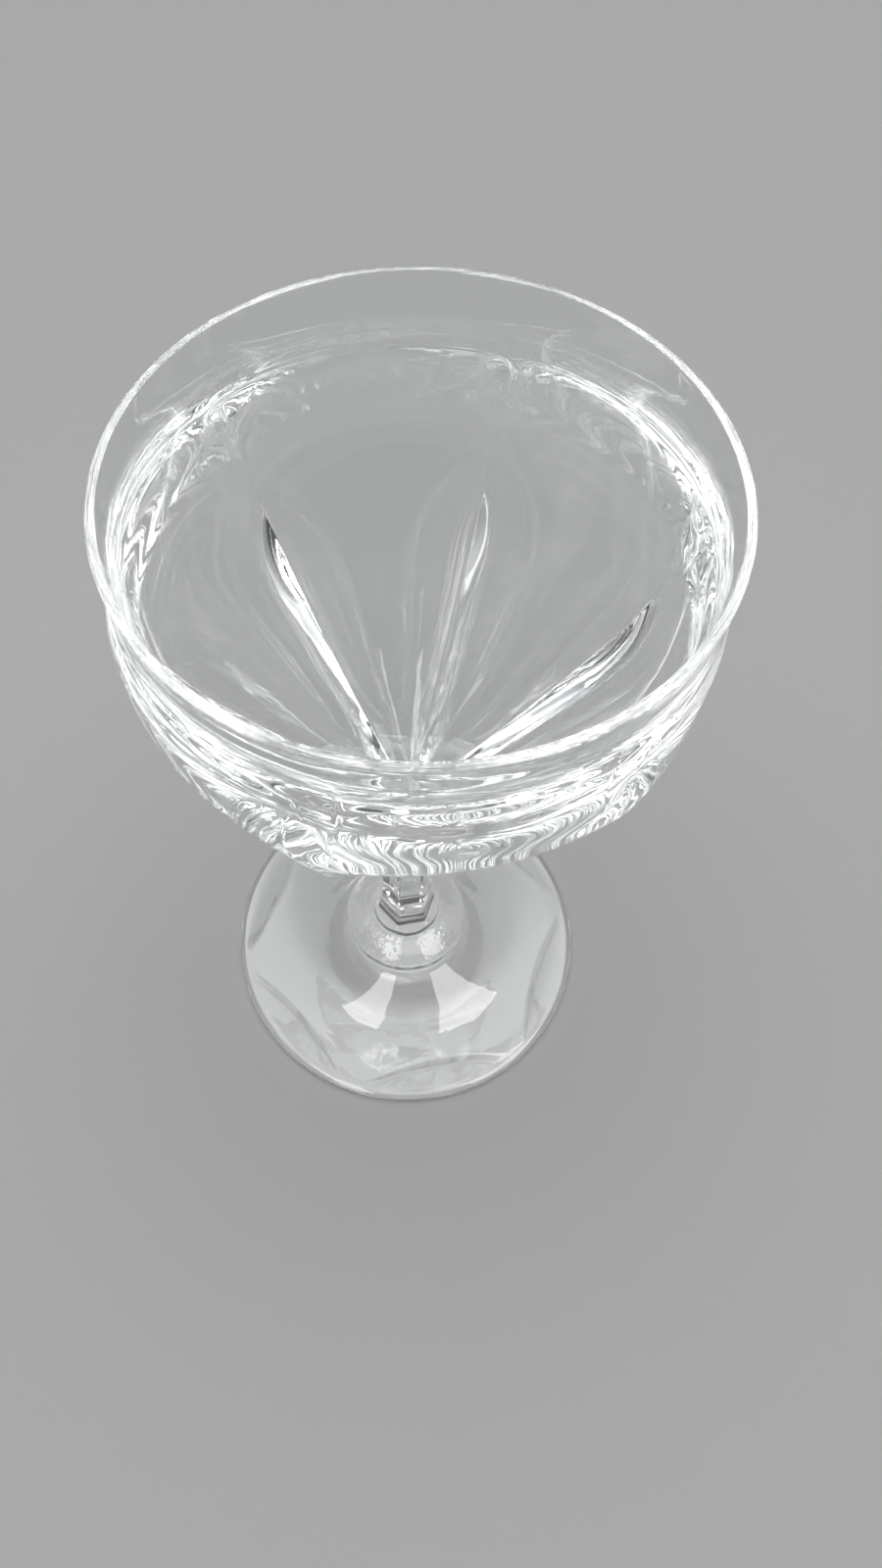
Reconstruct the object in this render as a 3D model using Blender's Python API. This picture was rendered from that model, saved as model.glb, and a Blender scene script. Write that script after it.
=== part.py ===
"""Stemmed port glass in clear cut crystal: bowl, stem, knop and foot.

Frame: metres, +Z up, origin on the table under the centre of the foot.
The glass is made of four gathers that are joined hot, one on the other. Each is its own closed
solid, and a hairline joint gap is left between neighbours.

Six panels are cut round the bowl. They start under a plain rim band in arched tops, turn in at a
knee, meet each other at mitre edges and run on down the stem as its six facets. The first panel
faces -Y.
"""

import math

import bmesh
import bpy

MM = 0.001

# Heights of the four pieces, from the table up
FOOT_HEIGHT = 9.4 * MM
KNOP_HEIGHT = 7.5 * MM
STEM_LENGTH = 40.1 * MM
BOWL_HEIGHT = 64.0 * MM
JOINT_GAP = 0.3 * MM

# Bowl outside: plain band with a flared lip, a waist and a shoulder that curves in (drops are below the rim)
RIM_RADIUS = 32.0 * MM
WAIST_RADIUS = 31.55 * MM
WAIST_DROP = 4.8 * MM
SHOULDER_RADIUS = 33.2 * MM
SHOULDER_DROP = 16.0 * MM
SHOULDER_CURVE_RADIUS = 80.0 * MM

# Bowl inside: thin at the lip, upright, then turned in softly to a slightly bellied cone over a solid base
LIP_WALL = 0.95 * MM
CUP_TURN_DROP = 17.0 * MM
CUP_TURN_ROUND = 5.0 * MM
CUP_CONE_POWER = 0.8
BASE_THICKNESS = 4.5 * MM

# Cut panels: crowned across on the upright wall, hollow across on the underside of the bowl
PANEL_COUNT = 6
PANEL_CUT = 0.6 * MM
PANEL_CROWN_RADIUS = 38.5 * MM
PANEL_HOLLOW_RADIUS = 110.0 * MM
HOLLOW_START_DROP = 19.2 * MM
HOLLOW_LENGTH = 19.4 * MM
ARCH_DROP = 13.6 * MM
ARCH_WHEEL_RADIUS = 21.4 * MM
KNEE_DROP = 20.6 * MM
KNEE_ROUND = 2.1 * MM
UNDERSIDE_BULGE = 0.2 * MM
NECK_ROUND = 7.0 * MM

# Stem, measured across two opposite facets
STEM_FLATS = 7.5 * MM
STEM_FOOT_FLATS = 8.9 * MM
STEM_FLARE_LENGTH = 9.5 * MM

# Knop: a round bead under a collar; a small bevel ends each stem facet on the collar
KNOP_RADIUS = 10.9 * MM
KNOP_SEAT_RADIUS = 10.3 * MM
KNOP_BELLY_HEIGHT = 1.9 * MM
COLLAR_HEIGHT = 1.7 * MM
COLLAR_MARGIN = 0.65 * MM
COLLAR_ROUND = 1.2 * MM
BEVEL_SLOPE = 1.5

# Foot: its upper side sweeps down from the knop, runs almost level and rolls off at the edge
FOOT_RADIUS = 31.6 * MM
FOOT_EDGE = 2.2 * MM
FOOT_SWEEP_POWER = 3.0
FOOT_ROLL_POWER = 4.0
FOOT_ROLL_SHARE = 0.15
REST_RING_WIDTH = 3.0 * MM
UNDERSIDE_HOLLOW = 2.0 * MM

# Facets of the solids
BOWL_COLUMNS = 10
STEM_COLUMNS = 4
TURNED_COLUMNS = 10

# Levels of the joints between the pieces
FOOT_TOP = FOOT_HEIGHT
KNOP_TOP = FOOT_TOP + KNOP_HEIGHT
STEM_TOP = KNOP_TOP + STEM_LENGTH
RIM_TOP = STEM_TOP + BOWL_HEIGHT

HALF_PANEL = math.pi / PANEL_COUNT
PANEL_FACE = SHOULDER_RADIUS - PANEL_CUT
CUP_RADIUS = min(WAIST_RADIUS, PANEL_FACE) - LIP_WALL
CUP_DEPTH = BOWL_HEIGHT - BASE_THICKNESS
COLLAR_FOOT = KNOP_TOP - COLLAR_HEIGHT
COLLAR_RADIUS = STEM_FOOT_FLATS / 2 / math.cos(HALF_PANEL) + COLLAR_MARGIN


def ease(share):
    """Smooth step from 0 to 1 with level ends."""
    share = min(max(share, 0.0), 1.0)
    return 0.5 - 0.5 * math.cos(math.pi * share)


def smooth_min(a, b, width):
    """The smaller of two lengths, rounded where they come within a width of each other."""
    overlap = max(width - abs(a - b), 0.0)
    return min(a, b) - overlap * overlap / (4 * width)


def smooth_max(a, b, width):
    """The larger of two lengths, rounded where they come within a width of each other."""
    return -smooth_min(-a, -b, width)


def spread(start, end, count):
    """Evenly spaced values after start, up to and including end."""
    return [start + (end - start) * (i + 1) / count for i in range(count)]


def blank_radius(drop):
    """Outside of the bowl before cutting: lip, waist, shoulder, then a slow curve inwards."""
    lip = RIM_RADIUS + (WAIST_RADIUS - RIM_RADIUS) * ease(drop / WAIST_DROP)
    swell = ease((drop - WAIST_DROP) / (SHOULDER_DROP - WAIST_DROP))
    below = max(drop - SHOULDER_DROP, 0.0)
    return lip + (SHOULDER_RADIUS - WAIST_RADIUS) * swell - below**2 / (2 * SHOULDER_CURVE_RADIUS)


def cup_radius(drop):
    """Inside of the bowl: parallel to the lip, then turned in to a cone whose side bellies a little."""
    lip = (RIM_RADIUS - WAIST_RADIUS) * (1 - ease(drop / WAIST_DROP))
    share = max((CUP_DEPTH - drop) / (CUP_DEPTH - CUP_TURN_DROP), 0.0)
    cone = CUP_RADIUS * share**CUP_CONE_POWER
    return lip + smooth_min(CUP_RADIUS, cone, CUP_TURN_ROUND)


def facet_apothem(z):
    """Distance from the axis to the middle of a panel or stem facet at one height."""
    drop = RIM_TOP - z
    above = min(max(ARCH_DROP - drop, 0.0), ARCH_WHEEL_RADIUS)
    runout = ARCH_WHEEL_RADIUS - math.sqrt(ARCH_WHEEL_RADIUS**2 - above**2)
    flare = min(max(1 - (z - KNOP_TOP) / STEM_FLARE_LENGTH, 0.0), 1.0) ** 2
    stem = (STEM_FLATS + (STEM_FOOT_FLATS - STEM_FLATS) * flare) / 2
    share = (drop - KNEE_DROP) / (BOWL_HEIGHT - KNEE_DROP)
    bulge = 4 * UNDERSIDE_BULGE * max(share * (1 - share), 0.0)
    underside = PANEL_FACE + (STEM_FLATS / 2 - PANEL_FACE) * share + bulge
    wall = smooth_min(PANEL_FACE + runout, underside, KNEE_ROUND)
    bevel = BEVEL_SLOPE * max(KNOP_TOP - z, 0.0)
    return smooth_max(wall, stem, NECK_ROUND) + bevel


def facet_radius(z, turn):
    """Radius of a panel at an angle from its middle: a parabola across it, crowned above, hollow below."""
    hollow = ease((RIM_TOP - z - HOLLOW_START_DROP) / HOLLOW_LENGTH)
    crown = (1 - hollow) / PANEL_CROWN_RADIUS - hollow / PANEL_HOLLOW_RADIUS
    apothem = facet_apothem(z)
    root = math.sqrt(math.cos(turn) ** 2 + 2 * apothem * crown * math.sin(turn) ** 2)
    return 2 * apothem / (math.cos(turn) + root)


def bead_radius(z):
    """Outside of the knop before cutting: a bead under an upright collar, rounded between them."""
    centre = FOOT_TOP + KNOP_BELLY_HEIGHT
    if z >= centre:
        share = min((z - centre) / (COLLAR_FOOT - centre), 1.0)
        bead = KNOP_RADIUS * math.sqrt(1 - share * share)
    else:
        share = (centre - z) / KNOP_BELLY_HEIGHT
        bead = KNOP_RADIUS - (KNOP_RADIUS - KNOP_SEAT_RADIUS) * share * share
    return smooth_max(bead, COLLAR_RADIUS, COLLAR_ROUND)


def cut_level(round_radius, turn, outside, inside):
    """Height where a panel breaks through a turned surface, searched from outside the cut to inside."""
    for _ in range(50):
        middle = (outside + inside) / 2
        if round_radius(middle) < facet_radius(middle, turn):
            outside = middle
        else:
            inside = middle
    return (outside + inside) / 2


def panel_turns(columns):
    """Angle from -Y of each column, and its angle from the middle of its own panel."""
    step = 2 * HALF_PANEL / columns
    turns = [step * i - HALF_PANEL for i in range(columns)]
    return [(2 * HALF_PANEL * panel + turn, turn) for panel in range(PANEL_COUNT) for turn in turns]


def loft(name, columns, rings):
    """Closed solid through rings of (radius, height), from its lower pole round to its upper pole."""
    angles = [angle for angle, _ in panel_turns(columns)]
    bm = bmesh.new()
    first = bm.verts.new((0, 0, rings[0][0][1]))
    last = bm.verts.new((0, 0, rings[-1][0][1]))
    loops = []
    for ring in rings:
        loop = [bm.verts.new((r * math.sin(a), -r * math.cos(a), z)) for a, (r, z) in zip(angles, ring)]
        loops.append(loop)
    count = len(angles)
    for i in range(count):
        after = (i + 1) % count
        bm.faces.new((first, loops[0][after], loops[0][i]))
        bm.faces.new((last, loops[-1][i], loops[-1][after]))
        for low, high in zip(loops, loops[1:]):
            bm.faces.new((low[i], low[after], high[after], high[i]))
    mesh = bpy.data.meshes.new(name)
    bm.to_mesh(mesh)
    bm.free()
    mesh.shade_smooth()
    mesh.set_sharp_from_angle(angle=math.radians(14))
    piece = bpy.data.objects.new(name, mesh)
    bpy.context.scene.collection.objects.link(piece)
    return piece


def turned_ring(columns, radius, z):
    """One ring of constant radius."""
    return [(radius, z)] * (columns * PANEL_COUNT)


def faceted_ring(columns, z):
    """One ring that lies on the panels or facets all round."""
    return [(facet_radius(z, turn), z) for _, turn in panel_turns(columns)]


def crystal(name, roughness):
    """Clear polished crystal for one piece."""
    material = bpy.data.materials.new(name)
    material.use_nodes = True
    shader = material.node_tree.nodes["Principled BSDF"]
    shader.inputs["Base Color"].default_value = (0.97, 0.98, 0.98, 1)
    shader.inputs["Metallic"].default_value = 0
    shader.inputs["Roughness"].default_value = roughness
    shader.inputs["IOR"].default_value = 1.54
    shader.inputs["Transmission Weight"].default_value = 1
    return material


def make_bowl():
    """Outside up from the seat: panels, arched cuts, band; over the lip; inside down to the bottom."""
    bottom = STEM_TOP + JOINT_GAP / 2
    lip_centre = RIM_TOP - LIP_WALL / 2
    turns = [turn for _, turn in panel_turns(BOWL_COLUMNS)]

    def band_radius(z):
        return blank_radius(RIM_TOP - z)

    arch = [cut_level(band_radius, turn, RIM_TOP - WAIST_DROP, bottom) for turn in turns]
    skirt = min(arch) - KNEE_ROUND
    rings = [faceted_ring(BOWL_COLUMNS, bottom)]
    rings += [faceted_ring(BOWL_COLUMNS, z) for z in spread(bottom, skirt, 10)]
    for share in spread(0, 1, 7):
        levels = [skirt + (top - skirt) * share for top in arch]
        rings.append([(facet_radius(z, turn), z) for z, turn in zip(levels, turns)])
    for share in spread(0, 1, 7):
        levels = [top + (lip_centre - top) * share for top in arch]
        rings.append([(band_radius(z), z) for z in levels])

    lip_middle = (band_radius(lip_centre) + cup_radius(LIP_WALL / 2)) / 2
    lip_half = band_radius(lip_centre) - lip_middle
    for angle in spread(0, math.pi, 6)[:-1]:
        radius = lip_middle + lip_half * math.cos(angle)
        height = lip_centre + LIP_WALL / 2 * math.sin(angle)
        rings.append(turned_ring(BOWL_COLUMNS, radius, height))

    turn_start = CUP_TURN_DROP - CUP_TURN_ROUND
    turn_end = CUP_TURN_DROP + CUP_TURN_ROUND
    inside = [LIP_WALL / 2, WAIST_DROP / 2] + spread(WAIST_DROP / 2, turn_start, 3)
    inside += spread(turn_start, turn_end, 6)
    inside += [turn_end + (CUP_DEPTH - turn_end) * math.sin(a) for a in spread(0, math.pi / 2, 8)[:-1]]
    rings += [turned_ring(BOWL_COLUMNS, cup_radius(drop), RIM_TOP - drop) for drop in inside]
    rings.append(turned_ring(BOWL_COLUMNS, rings[-1][0][0] / 3, RIM_TOP - CUP_DEPTH))
    return loft("bowl", BOWL_COLUMNS, rings)


def make_stem():
    """Six-sided rod that flares a little into the knop and swells into the bowl's panels."""
    bottom = KNOP_TOP + JOINT_GAP / 2
    top = STEM_TOP - JOINT_GAP / 2
    levels = [bottom] + spread(bottom, top, 16)
    return loft("stem", STEM_COLUMNS, [faceted_ring(STEM_COLUMNS, z) for z in levels])


def make_knop():
    """Round bead and collar, with the six bevels of the stem's facets cut into the collar."""
    bottom = FOOT_TOP + JOINT_GAP / 2
    top = KNOP_TOP - JOINT_GAP / 2
    turns = [turn for _, turn in panel_turns(TURNED_COLUMNS)]
    scallop = [cut_level(bead_radius, turn, COLLAR_FOOT, top) for turn in turns]
    belly = FOOT_TOP + KNOP_BELLY_HEIGHT
    rings = [turned_ring(TURNED_COLUMNS, bead_radius(z), z) for z in [bottom] + spread(bottom, belly, 3)]
    for angle in spread(0, math.pi / 2, 9):
        levels = [belly + (end - belly) * math.sin(angle) for end in scallop]
        rings.append([(bead_radius(z), z) for z in levels])
    for share in spread(0, 1, 2):
        levels = [end + (top - end) * share for end in scallop]
        rings.append([(facet_radius(z, turn), z) for z, turn in zip(levels, turns)])
    return loft("knop", TURNED_COLUMNS, rings)


def make_foot():
    """Turned disc: hollow underside, resting ring, rounded edge, swept upper side, flat seat."""
    seat = FOOT_TOP - JOINT_GAP / 2
    edge_round = FOOT_EDGE / 2
    edge_centre = FOOT_RADIUS - edge_round
    ring_inner = edge_centre - REST_RING_WIDTH
    profile = []
    for radius in spread(0, ring_inner, 6):
        profile.append((radius, UNDERSIDE_HOLLOW * (1 - (radius / ring_inner) ** 2)))
    for angle in [0] + spread(0, math.pi, 6):
        profile.append((edge_centre + edge_round * math.sin(angle), edge_round * (1 - math.cos(angle))))
    for share in spread(0, 1, 12):
        radius = edge_centre + (KNOP_SEAT_RADIUS - edge_centre) * share
        sweep = (1 - FOOT_ROLL_SHARE) * share**FOOT_SWEEP_POWER
        roll = FOOT_ROLL_SHARE * (1 - (1 - share) ** FOOT_ROLL_POWER)
        profile.append((radius, FOOT_EDGE + (seat - FOOT_EDGE) * (sweep + roll)))
    rings = [turned_ring(TURNED_COLUMNS, radius, z) for radius, z in profile]
    return loft("foot", TURNED_COLUMNS, rings)


def main():
    for leftover in list(bpy.data.objects):
        bpy.data.objects.remove(leftover)
    finishes = {make_bowl: 0.01, make_stem: 0.015, make_knop: 0.02, make_foot: 0.02}
    for make, roughness in finishes.items():
        piece = make()
        piece.data.materials.append(crystal(piece.name + "_crystal", roughness))


main()
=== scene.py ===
import math

import bpy
import numpy as np
from mathutils import Matrix, Quaternion, Vector


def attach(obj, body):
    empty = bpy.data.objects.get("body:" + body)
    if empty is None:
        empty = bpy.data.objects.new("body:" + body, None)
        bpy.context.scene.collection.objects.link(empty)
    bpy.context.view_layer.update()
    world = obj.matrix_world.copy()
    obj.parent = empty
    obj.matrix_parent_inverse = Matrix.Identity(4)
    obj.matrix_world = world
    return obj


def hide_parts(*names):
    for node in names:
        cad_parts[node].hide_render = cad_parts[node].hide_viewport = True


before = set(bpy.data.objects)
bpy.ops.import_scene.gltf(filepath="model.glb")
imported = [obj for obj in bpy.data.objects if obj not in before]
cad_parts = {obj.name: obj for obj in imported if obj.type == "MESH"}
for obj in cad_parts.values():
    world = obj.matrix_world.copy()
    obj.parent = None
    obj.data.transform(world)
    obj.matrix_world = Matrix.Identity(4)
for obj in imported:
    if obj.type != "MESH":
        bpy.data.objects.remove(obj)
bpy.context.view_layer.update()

MM = 0.001

# Levels of the glass, from the table up
FOOT_TOP = 9.4 * MM
KNOP_TOP = 16.9 * MM
STEM_TOP = 57.0 * MM
RIM_TOP = 121.0 * MM
BOWL_HEIGHT = RIM_TOP - STEM_TOP

# Bowl blank and cup (drops are below the rim)
RIM_RADIUS = 32.0 * MM
WAIST_RADIUS = 31.55 * MM
WAIST_DROP = 4.8 * MM
SHOULDER_RADIUS = 33.2 * MM
SHOULDER_DROP = 16.0 * MM
SHOULDER_CURVE_RADIUS = 80.0 * MM
LIP_WALL = 0.95 * MM
CUP_TURN_DROP = 17.0 * MM
CUP_TURN_ROUND = 5.0 * MM
CUP_CONE_POWER = 0.8
BASE_THICKNESS = 4.5 * MM

# Six cut panels that run on as the facets of the stem
PANEL_COUNT = 6
PANEL_CUT = 0.6 * MM
PANEL_CROWN_RADIUS = 38.5 * MM
PANEL_HOLLOW_RADIUS = 110.0 * MM
HOLLOW_START_DROP = 19.2 * MM
HOLLOW_LENGTH = 19.4 * MM
ARCH_DROP = 13.6 * MM
ARCH_WHEEL_RADIUS = 21.4 * MM
KNEE_DROP = 20.6 * MM
KNEE_ROUND = 2.1 * MM
UNDERSIDE_BULGE = 0.2 * MM
NECK_ROUND = 7.0 * MM
STEM_FLATS = 7.5 * MM
STEM_FOOT_FLATS = 8.9 * MM
STEM_FLARE_LENGTH = 9.5 * MM
EDGE_ROUND = 0.35 * MM

# Knop and foot
KNOP_RADIUS = 10.9 * MM
KNOP_SEAT_RADIUS = 10.3 * MM
KNOP_BELLY_HEIGHT = 1.9 * MM
COLLAR_HEIGHT = 1.7 * MM
COLLAR_MARGIN = 0.65 * MM
COLLAR_ROUND = 1.2 * MM
BEVEL_SLOPE = 1.5
FOOT_RADIUS = 31.6 * MM
FOOT_EDGE = 2.2 * MM
FOOT_SWEEP_POWER = 3.0
FOOT_ROLL_POWER = 4.0
FOOT_ROLL_SHARE = 0.15
FOOT_FILLET = 0.8 * MM
REST_RING_WIDTH = 3.0 * MM
REST_RING_ROUND = 0.3 * MM
UNDERSIDE_HOLLOW = 2.0 * MM

# Sizes that follow from these
HALF_PANEL = math.pi / PANEL_COUNT
PANEL_FACE = SHOULDER_RADIUS - PANEL_CUT
LIP_LEVEL = RIM_TOP - LIP_WALL / 2
CUP_RADIUS = min(WAIST_RADIUS, PANEL_FACE) - LIP_WALL
CUP_DEPTH = BOWL_HEIGHT - BASE_THICKNESS
KNOP_BELLY = FOOT_TOP + KNOP_BELLY_HEIGHT
COLLAR_FOOT = KNOP_TOP - COLLAR_HEIGHT
COLLAR_RADIUS = STEM_FOOT_FLATS / 2 / math.cos(HALF_PANEL) + COLLAR_MARGIN
EDGE_CENTRE = FOOT_RADIUS - FOOT_EDGE / 2

# Columns of the mesh on each panel, and the share of their spacing that is even
PANEL_COLUMNS = 52
EVEN_SHARE = 0.15

# Rows of the mesh on each stretch of the outline, in order along it
HOLLOW_ROWS = 22
EDGE_ROWS = 10
SWEEP_ROWS = 40
TUCK_ROWS = 6
DOME_ROWS = 16
BEVEL_ROWS = 6
STEM_ROWS = 26
UNDERSIDE_ROWS = 44
WALL_ROWS = 26
BAND_ROWS = 26
LIP_ROWS = 12
CUP_WALL_ROWS = 14
CUP_TURN_ROWS = 24
CUP_CONE_ROWS = 39
WALL_CROWDING = 1.8
BAND_CROWDING = 1.6

# How far past the knop's seat the foot's sweep is read, in how many steps, and halvings to find a level
SWEEP_REACH = 1.5
SWEEP_STEPS = 900
HALVINGS = 50

# Numbers of the finishes
SPREAD, TOOLED, WHEEL_CUT, BLOWN = range(4)

# Lead crystal
CRYSTAL_COLOUR = "#FDFEFE"
CRYSTAL_IOR = 1.545
CLEAR_BOUNCES = 40

# Studio: lengths in metres; the ceiling fades in between two heights of the unit sphere
FLOOR_COLOUR = "#B0AFAC"
FLOOR_REACH = 6.0
CEILING_COLOUR = "#F4F7FA"
CEILING_START, CEILING_FULL = 0.7, 0.9
SURROUND_STRENGTH, CEILING_STRENGTH = 0.1, 2.6
SOFTBOX_RADIANCE = 6.0
SOFTBOX_AIM = (0.0, 0.0, 0.06)

# Camera, fitted to the photograph: its frame, focal length and optical centre in pixels, its angles in
# degrees, and its place in rim radii before it is turned round the axis of the glass
FRAME_WIDTH, FRAME_HEIGHT = 900, 1600
FOCAL_LENGTH = 1105.84
OPTICAL_CENTRE = (390, 790)
SENSOR_SIZE = 36
CAMERA_PLACE = (-0.1251, -2.3565, 6.1727)
CAMERA_TURN = -9.98
CAMERA_DIP = 60.65
CAMERA_ROLL = -0.86
NEAREST_SEEN = 0.005


def ease(share):
    """Half a cosine wave from 0 to 1, level at both ends."""
    return 0.5 - 0.5 * np.cos(np.pi * np.clip(share, 0, 1))


def soft_min(a, b, width):
    """The smaller of two lengths, less a parabola where they come within a width of each other."""
    overlap = np.maximum(width - np.abs(a - b), 0)
    return np.minimum(a, b) - overlap**2 / (4 * width)


def soft_max(a, b, width):
    """The larger of two lengths, plus a parabola where they come within a width of each other."""
    return -soft_min(-a, -b, width)


def between(start, end, count, power=1.0):
    """Rows of levels after start, up to end: shares of the way raised to a power, to crowd them at
    start."""
    share = (np.arange(1, count + 1) / count)[:, None] ** power
    return start + (end - start) * share


def blank_radius(z):
    """Bowl before cutting: the lip eases in to the waist, which eases out to the shoulder; below that
    a parabola curves in slowly."""
    drop = RIM_TOP - z
    lip = RIM_RADIUS + (WAIST_RADIUS - RIM_RADIUS) * ease(drop / WAIST_DROP)
    swell = ease((drop - WAIST_DROP) / (SHOULDER_DROP - WAIST_DROP))
    below = np.maximum(drop - SHOULDER_DROP, 0)
    return lip + (SHOULDER_RADIUS - WAIST_RADIUS) * swell - below**2 / (2 * SHOULDER_CURVE_RADIUS)


def cup_radius(drop):
    """Inside of the bowl: parallel to the lip, then a cone closing as a power of the height left, with
    the turn between them rounded."""
    lip = (RIM_RADIUS - WAIST_RADIUS) * (1 - ease(drop / WAIST_DROP))
    share = np.maximum((CUP_DEPTH - drop) / (CUP_DEPTH - CUP_TURN_DROP), 0)
    return lip + soft_min(CUP_RADIUS, CUP_RADIUS * share**CUP_CONE_POWER, CUP_TURN_ROUND)


def foot_height(share):
    """Upper side of the foot from its edge (0) to the knop (1): a cubic sweep up to the knop, and
    a smaller share that rises at the edge first."""
    sweep = (1 - FOOT_ROLL_SHARE) * share**FOOT_SWEEP_POWER
    roll = FOOT_ROLL_SHARE * (1 - (1 - share) ** FOOT_ROLL_POWER)
    return FOOT_EDGE + (FOOT_TOP - FOOT_EDGE) * (sweep + roll)


def turned_radius(z):
    """Round outline before cutting. Below the middle of the stem it is the foot's sweep (its height
    curve read backwards, and carried on inside the knop), the bead (an ellipse above its belly,
    a parabola below) and the collar; above it is the bowl."""
    shares = np.linspace(0, SWEEP_REACH, SWEEP_STEPS)
    share = np.interp(z, foot_height(shares), shares)
    sweep = EDGE_CENTRE + (KNOP_SEAT_RADIUS - EDGE_CENTRE) * share
    dome = np.sqrt(1 - np.clip((z - KNOP_BELLY) / (COLLAR_FOOT - KNOP_BELLY), 0, 1) ** 2)
    below = np.maximum((KNOP_BELLY - z) / KNOP_BELLY_HEIGHT, 0)
    tuck = (KNOP_RADIUS - KNOP_SEAT_RADIUS) * below**2
    bead = soft_max(KNOP_RADIUS * dome - tuck, COLLAR_RADIUS, COLLAR_ROUND)
    lower = soft_max(sweep, bead, FOOT_FILLET)
    return np.where(z < (KNOP_TOP + STEM_TOP) / 2, lower, blank_radius(z))


def facet_apothem(z):
    """Axis to the middle of a panel: upright with a round run-out at its top, bent in at the knee
    along a line with a small bulge, blended into the stem, and turned out again on the collar's
    bevels."""
    drop = RIM_TOP - z
    above = np.clip(ARCH_DROP - drop, 0, ARCH_WHEEL_RADIUS)
    runout = ARCH_WHEEL_RADIUS - np.sqrt(ARCH_WHEEL_RADIUS**2 - above**2)
    flare = np.clip(1 - (z - KNOP_TOP) / STEM_FLARE_LENGTH, 0, 1) ** 2
    stem = (STEM_FLATS + (STEM_FOOT_FLATS - STEM_FLATS) * flare) / 2
    share = (drop - KNEE_DROP) / (BOWL_HEIGHT - KNEE_DROP)
    bulge = 4 * UNDERSIDE_BULGE * np.maximum(share * (1 - share), 0)
    underside = PANEL_FACE + (STEM_FLATS / 2 - PANEL_FACE) * share + bulge
    wall = soft_min(PANEL_FACE + runout, underside, KNEE_ROUND)
    bevel = BEVEL_SLOPE * np.maximum(KNOP_TOP - z, 0)
    return soft_max(wall, stem, NECK_ROUND) + bevel


def crowned_radius(z, turn):
    """One panel at an angle from its middle: a parabola across the panel, in polar form. It is crowned
    on the upright wall and eases over to hollow on the underside."""
    hollow = ease((RIM_TOP - z - HOLLOW_START_DROP) / HOLLOW_LENGTH)
    crown = (1 - hollow) / PANEL_CROWN_RADIUS - hollow / PANEL_HOLLOW_RADIUS
    apothem = facet_apothem(z)
    square = np.cos(turn) ** 2 + 2 * apothem * crown * np.sin(turn) ** 2
    return 2 * apothem / (np.cos(turn) + np.sqrt(np.maximum(square, 0)))


def panel_radius(z, turn):
    """The nearer of a panel and its neighbour, softened along the mitre where they meet."""
    turn = np.abs(turn)
    neighbour = crowned_radius(z, 2 * HALF_PANEL - turn)
    return soft_min(crowned_radius(z, turn), neighbour, EDGE_ROUND)


def cut_level(turn, outside, inside):
    """Height on each column where the panel breaks through the round outline, by halving the
    interval."""
    outside = np.full_like(turn, outside)
    inside = np.full_like(turn, inside)
    for _ in range(HALVINGS):
        middle = (outside + inside) / 2
        uncut = turned_radius(middle) < crowned_radius(middle, turn)
        outside = np.where(uncut, middle, outside)
        inside = np.where(uncut, inside, middle)
    return (outside + inside) / 2


def panel_columns():
    """Angle of each column round the axis, and its turn from the middle of its panel: even steps mixed
    with a sine, which crowds the columns at the mitres."""
    way = np.arange(PANEL_COLUMNS) / PANEL_COLUMNS * 2 - 1
    turn = HALF_PANEL * (EVEN_SHARE * way + (1 - EVEN_SHARE) * np.sin(np.pi / 2 * way))
    angle = 2 * HALF_PANEL * np.arange(PANEL_COUNT)[:, None] + turn
    return angle.ravel(), np.tile(turn, PANEL_COUNT)


def foot_rows():
    """Radius and height of the rows under the foot, a hollow parabola that softly meets the resting
    ring, and round its edge, half a circle."""
    under = between(0, EDGE_CENTRE, HOLLOW_ROWS)
    bowed = UNDERSIDE_HOLLOW * (1 - (under / (EDGE_CENTRE - REST_RING_WIDTH)) ** 2)
    hollow = soft_max(bowed, 0, REST_RING_ROUND)
    arc = between(0, np.pi, EDGE_ROWS)
    edge_radius = EDGE_CENTRE + FOOT_EDGE / 2 * np.sin(arc)
    edge_height = FOOT_EDGE / 2 * (1 - np.cos(arc))
    return np.concatenate([under, edge_radius]), np.concatenate([hollow, edge_height])


def outside_rows(turn):
    """Radius and height of the rows up the outside: the smaller of the round outline and the panels.
    The scallops and the arches lie on rows of their own, and the rows near them follow them."""
    level = np.ones_like(turn)
    scallop = cut_level(turn, COLLAR_FOOT, KNOP_TOP)
    arch = cut_level(turn, RIM_TOP - WAIST_DROP, STEM_TOP)
    skirt = arch.min() - KNEE_ROUND
    height = np.concatenate(
        [
            foot_height(between(0, 1, SWEEP_ROWS)) * level,
            between(FOOT_TOP, KNOP_BELLY, TUCK_ROWS) * level,
            KNOP_BELLY + (scallop - KNOP_BELLY) * np.sin(between(0, np.pi / 2, DOME_ROWS)),
            between(scallop, KNOP_TOP, BEVEL_ROWS),
            between(KNOP_TOP, STEM_TOP, STEM_ROWS) * level,
            between(STEM_TOP, skirt, UNDERSIDE_ROWS) * level,
            arch + (skirt - arch) * (1 - between(0, 1, WALL_ROWS)) ** WALL_CROWDING,
            between(arch, LIP_LEVEL, BAND_ROWS, BAND_CROWDING),
        ]
    )
    return soft_min(turned_radius(height), panel_radius(height, turn), EDGE_ROUND), height


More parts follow.
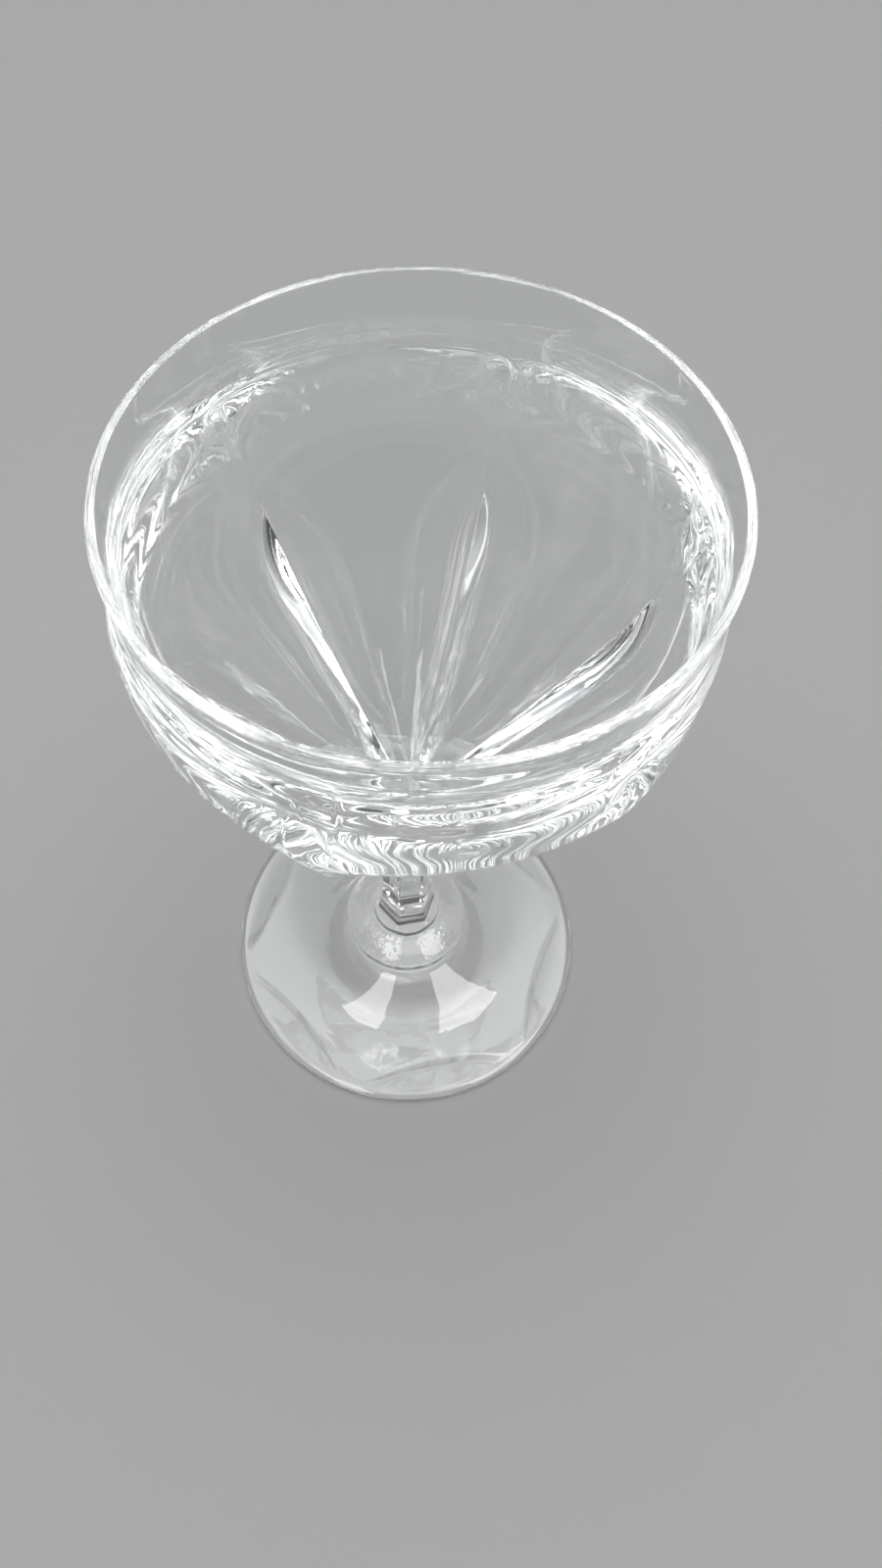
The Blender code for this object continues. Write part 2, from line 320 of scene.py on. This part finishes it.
def cup_rows():
    """Radius and height of the rows over the lip, half an ellipse, and down the inside of the cup."""
    outer = blank_radius(LIP_LEVEL)
    inner = cup_radius(LIP_WALL / 2)
    arc = between(0, np.pi, LIP_ROWS)
    lip_radius = (outer + inner) / 2 + (outer - inner) / 2 * np.cos(arc)
    lip_height = LIP_LEVEL + LIP_WALL / 2 * np.sin(arc)
    turn_start = CUP_TURN_DROP - CUP_TURN_ROUND
    turn_end = CUP_TURN_DROP + CUP_TURN_ROUND
    wall = between(LIP_WALL / 2, turn_start, CUP_WALL_ROWS)
    bend = between(turn_start, turn_end, CUP_TURN_ROWS)
    quarter = between(0, np.pi / 2, CUP_CONE_ROWS + 1)[:-1]
    cone = turn_end + (CUP_DEPTH - turn_end) * np.sin(quarter)
    drop = np.concatenate([wall, bend, cone])
    radius = np.concatenate([lip_radius, cup_radius(drop)])
    return radius, np.concatenate([lip_height, RIM_TOP - drop])


def glass_surface():
    """Radius and height by row and column along the whole skin of the glass: out under the foot, round
    its edge, up the outside, over the lip and down the cup. The columns' angles and the number of each
    row's finish come with them."""
    angle, turn = panel_columns()
    level = np.ones_like(turn)
    foot_radius, foot_z = foot_rows()
    outside_radius, outside_z = outside_rows(turn)
    inside_radius, inside_z = cup_rows()
    radius = np.concatenate([foot_radius * level, outside_radius, inside_radius * level])
    height = np.concatenate([foot_z * level, outside_z, inside_z * level])
    spread = HOLLOW_ROWS + EDGE_ROWS + SWEEP_ROWS
    tooled = TUCK_ROWS + DOME_ROWS
    wheel_cut = BEVEL_ROWS + STEM_ROWS + UNDERSIDE_ROWS + WALL_ROWS
    blown = len(radius) - spread - tooled - wheel_cut
    finish = np.repeat([SPREAD, TOOLED, WHEEL_CUT, BLOWN], [spread, tooled, wheel_cut, blown])
    return radius, height, angle, finish


def closed_skin(name, radius, height, angle, finish, low_pole, high_pole):
    """Mesh of rings (rows) by angles (columns) that wraps round, with a fan of triangles to each pole.
    Its attribute "skin" holds the sine and cosine of the angle and the length of the way along the
    outline, so that marks can run along the outline or round the axis without a seam."""
    rows, columns = radius.shape
    sine, cosine = np.sin(angle), -np.cos(angle)
    points = np.stack([radius * sine, radius * cosine, height], -1).reshape(-1, 3)
    points = np.concatenate([points, [(0, 0, low_pole), (0, 0, high_pole)]])
    index = np.arange(rows * columns).reshape(rows, columns)
    after = np.roll(index, -1, 1)
    quads = np.stack([index[:-1], after[:-1], after[1:], index[1:]], -1).reshape(-1, 4)
    low = np.stack([np.full(columns, rows * columns), after[0], index[0]], -1)
    high = np.stack([np.full(columns, rows * columns + 1), index[-1], after[-1]], -1)
    mesh = bpy.data.meshes.new(name)
    mesh.from_pydata(points.tolist(), [], quads.tolist() + low.tolist() + high.tolist())
    mesh.shade_smooth()

    face_finish = np.repeat(np.concatenate([finish[1:], finish[[0, -1]]]), columns)
    mesh.polygons.foreach_set("material_index", face_finish.astype(np.int32))
    step = np.hypot(np.diff(radius, axis=0), np.diff(height, axis=0))
    way = np.concatenate([np.zeros((1, columns)), np.cumsum(step, axis=0)])
    skin = np.stack(np.broadcast_arrays(sine, cosine, way), -1).reshape(-1, 3)
    skin = np.concatenate([skin, [(0, 0, 0), (0, 0, way.max())]])
    attribute = mesh.attributes.new("skin", "FLOAT_VECTOR", "POINT")
    attribute.data.foreach_set("vector", skin.ravel())

    piece = bpy.data.objects.new(name, mesh)
    bpy.context.scene.collection.objects.link(piece)
    return piece


def linear(code):
    """An sRGB hex colour as linear red, green, blue and full alpha, by the curve of that standard."""
    srgb = np.array([int(code[i : i + 2], 16) for i in (1, 3, 5)]) / 255
    flat = np.where(srgb <= 0.04045, srgb / 12.92, ((srgb + 0.055) / 1.055) ** 2.4)
    return (*flat.tolist(), 1.0)


def node(tree, kind, links=(), **settings):
    """Adds a node, sets its attributes or named sockets, and links (own socket, other node, its
    socket)."""
    made = tree.nodes.new(kind)
    for name, value in settings.items():
        if hasattr(made, name):
            setattr(made, name, value)
        else:
            made.inputs[name.replace("_", " ")].default_value = value
    for own, other, socket in links:
        tree.links.new(other.outputs[socket], made.inputs[own])
    return made


def crystal(name, radius, width, length, relief):
    """Clear lead crystal with the marks of its making: noise on the skin coordinates, scaled so that at
    a radius from the axis a mark is so wide round the axis, and so long along the outline; relief is
    its height."""
    material = bpy.data.materials.new(name)
    material.use_nodes = True
    tree = material.node_tree
    shader = tree.nodes["Principled BSDF"]
    shader.inputs["Base Color"].default_value = linear(CRYSTAL_COLOUR)
    shader.inputs["Roughness"].default_value = 0.0
    shader.inputs["IOR"].default_value = CRYSTAL_IOR
    shader.inputs["Transmission Weight"].default_value = 1.0
    skin = node(tree, "ShaderNodeAttribute", attribute_name="skin")
    marks_per_unit = (radius / width, radius / width, 1 / length)
    way = node(tree, "ShaderNodeMapping", [("Vector", skin, "Vector")], Scale=marks_per_unit)
    marks = node(tree, "ShaderNodeTexNoise", [("Vector", way, "Vector")], Scale=1.0, Detail=2.0)
    bump = node(tree, "ShaderNodeBump", [("Height", marks, "Fac")], Strength=1.0, Distance=relief)
    tree.links.new(bump.outputs["Normal"], shader.inputs["Normal"])
    return material


def finishes():
    """The four finishes, in the order of their numbers."""
    return [
        # Spread hot and fire polished: clear and bright, with shallow uneven rings that make
        # reflections waver
        crystal("spread_fire_polished_lead_crystal", 30 * MM, 7.5 * MM, 3.0 * MM, 0.035 * MM),
        # Shaped hot against a tool: close rings round the knop, which break what it mirrors into arcs
        # and flecks
        crystal("tooled_lead_crystal", 9 * MM, 1.5 * MM, 1.0 * MM, 0.15 * MM),
        # Cut on a wheel, then acid polished: sharp and clear, with faint streaks along each panel,
        # drawn 1 mm wide because real ones are too fine to show
        crystal("wheel_cut_acid_polished_lead_crystal", 20 * MM, 1.0 * MM, 25.0 * MM, 0.006 * MM),
        # Blown: bright, with a broad waviness that makes reflections swim
        crystal("blown_fire_polished_lead_crystal", 30 * MM, 6.0 * MM, 10.0 * MM, 0.05 * MM),
    ]


def paper_floor():
    """Pale square sheet at the level of the table."""
    corners = np.array([(-1, -1, 0), (1, -1, 0), (1, 1, 0), (-1, 1, 0)]) * FLOOR_REACH
    mesh = bpy.data.meshes.new("floor")
    mesh.from_pydata(corners.tolist(), [], [(0, 1, 2, 3)])
    floor = bpy.data.objects.new("floor", mesh)
    bpy.context.scene.collection.objects.link(floor)
    # Uncoated paper: even and pale, with hardly any sheen
    paper = bpy.data.materials.new("matte_paper")
    paper.use_nodes = True
    shader = paper.node_tree.nodes["Principled BSDF"]
    shader.inputs["Base Color"].default_value = linear(FLOOR_COLOUR)
    shader.inputs["Roughness"].default_value = 0.9
    shader.inputs["Specular IOR Level"].default_value = 0.1
    mesh.materials.append(paper)


def soft_ceiling():
    """World that shines softly from overhead and is dim all round, by the height of the direction."""
    world = bpy.data.worlds.new("studio")
    world.use_nodes = True
    tree = world.node_tree
    way = node(tree, "ShaderNodeTexCoord")
    height = node(tree, "ShaderNodeSeparateXYZ", [("Vector", way, "Generated")])
    rise = node(
        tree,
        "ShaderNodeMapRange",
        [("Value", height, "Z")],
        From_Min=CEILING_START,
        From_Max=CEILING_FULL,
        To_Min=SURROUND_STRENGTH,
        To_Max=CEILING_STRENGTH,
        interpolation_type="SMOOTHSTEP",
    )
    background = tree.nodes["Background"]
    background.inputs["Color"].default_value = linear(CEILING_COLOUR)
    tree.links.new(rise.outputs["Result"], background.inputs["Strength"])
    bpy.context.scene.world = world


def softbox(name, place, roll, size):
    """Rectangular lamp at a place, turned to the glass and rolled by an angle in degrees. It is a card
    for the glass to mirror, and the floor takes its light from the ceiling alone."""
    lamp = bpy.data.lights.new(name, "AREA")
    lamp.shape = "RECTANGLE"
    lamp.size, lamp.size_y = size
    lamp.energy = SOFTBOX_RADIANCE * size[0] * size[1] * math.pi
    made = bpy.data.objects.new(name, lamp)
    made.location = place
    turn = (Vector(SOFTBOX_AIM) - Vector(place)).to_track_quat("-Z", "Y")
    made.rotation_euler = (turn @ Quaternion((0, 0, 1), math.radians(roll))).to_euler()
    made.visible_diffuse = False
    bpy.context.scene.collection.objects.link(made)


def fitted_camera():
    """Camera whose picture of the glass falls where the photograph has it."""
    lens = bpy.data.cameras.new("camera")
    lens.sensor_width = SENSOR_SIZE
    lens.lens = FOCAL_LENGTH * SENSOR_SIZE / FRAME_HEIGHT
    lens.shift_x = (FRAME_WIDTH / 2 - OPTICAL_CENTRE[0]) / FRAME_HEIGHT
    lens.shift_y = (OPTICAL_CENTRE[1] - FRAME_HEIGHT / 2) / FRAME_HEIGHT
    lens.clip_start = NEAREST_SEEN
    camera = bpy.data.objects.new("camera", lens)
    camera.matrix_world = (
        Matrix.Rotation(math.radians(CAMERA_TURN), 4, "Z")
        @ Matrix.Translation(Vector(CAMERA_PLACE) * RIM_RADIUS)
        @ Matrix.Rotation(math.radians(90 - CAMERA_DIP), 4, "X")
        @ Matrix.Rotation(math.radians(CAMERA_ROLL), 4, "Z")
    )
    bpy.context.scene.collection.objects.link(camera)
    bpy.context.scene.camera = camera


def studio():
    """Pale floor, soft light and the camera, with light let through the glass many times over."""
    scene = bpy.context.scene
    scene.view_settings.view_transform = "Standard"
    scene.cycles.max_bounces = CLEAR_BOUNCES
    scene.cycles.glossy_bounces = CLEAR_BOUNCES
    scene.cycles.transmission_bounces = CLEAR_BOUNCES
    paper_floor()
    soft_ceiling()
    softbox("window_left", (-0.43, -0.5, 0.78), 20, (0.3, 0.95))
    softbox("window_right", (0.44, -0.5, 0.78), -20, (0.42, 0.95))
    fitted_camera()


def main():
    """Puts the glass in its studio: one skin for all four solids, because the real ones are fused."""
    radius, height, angle, finish = glass_surface()
    cup_bottom = RIM_TOP - CUP_DEPTH
    glass = closed_skin("glass", radius, height, angle, finish, UNDERSIDE_HOLLOW, cup_bottom)
    for material in finishes():
        glass.data.materials.append(material)
    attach(glass, "root")
    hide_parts("bowl", "stem", "knop", "foot")
    studio()


main()
